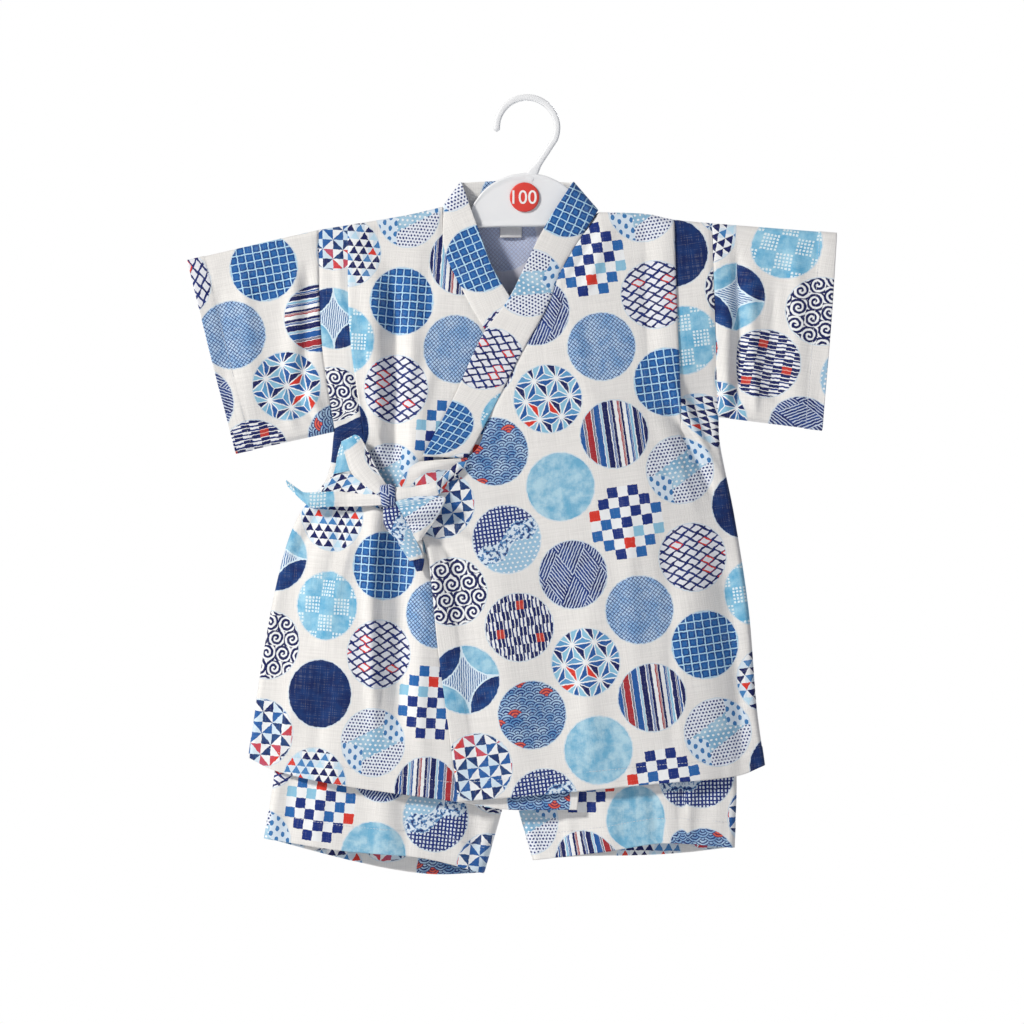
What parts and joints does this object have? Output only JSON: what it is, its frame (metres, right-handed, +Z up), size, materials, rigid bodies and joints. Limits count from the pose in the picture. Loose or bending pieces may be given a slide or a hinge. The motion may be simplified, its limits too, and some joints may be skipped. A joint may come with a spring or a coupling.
{
  "type": "child's jinbei set on a hanger",
  "caption": "Child's cotton wrap top with short sleeves, side tie and matching shorts, hung flat on a small moulded hanger with a hook.",
  "frame": {"origin": "inner top of the hanger's hook, where a rail carries it", "axes": "+Z up, the garment's front faces -Y, the wearer's left is at +X"},
  "size_m": [0.4927, 0.0442, 0.5926],
  "materials": {
    "cotton_print": "slubby plain-weave cotton, cream ground printed with blue, navy and red discs",
    "plastic_white": "satin moulded plastic",
    "size_red": "printed red disc with plain white numerals",
    "label_white": "blank white woven tape"
  },
  "bodies": {
    "root": {"back": "cotton_print", "front_right": "cotton_print", "front_left": "cotton_print", "collar_back": "cotton_print", "collar_right": "cotton_print", "collar_left": "cotton_print", "sleeve_right": "cotton_print", "sleeve_left": "cotton_print", "shorts_waistband": "cotton_print", "shorts_leg_right": "cotton_print", "shorts_leg_left": "cotton_print", "tie_knot": "cotton_print", "tie_root": "cotton_print", "tie_loop_upper": "cotton_print", "tie_loop_lower": "cotton_print", "tie_tail_left": "cotton_print", "tie_tail_lower": "cotton_print", "hanger": "plastic_white", "size_disc": "size_red", "label": "label_white"}
  },
  "joints": []
}
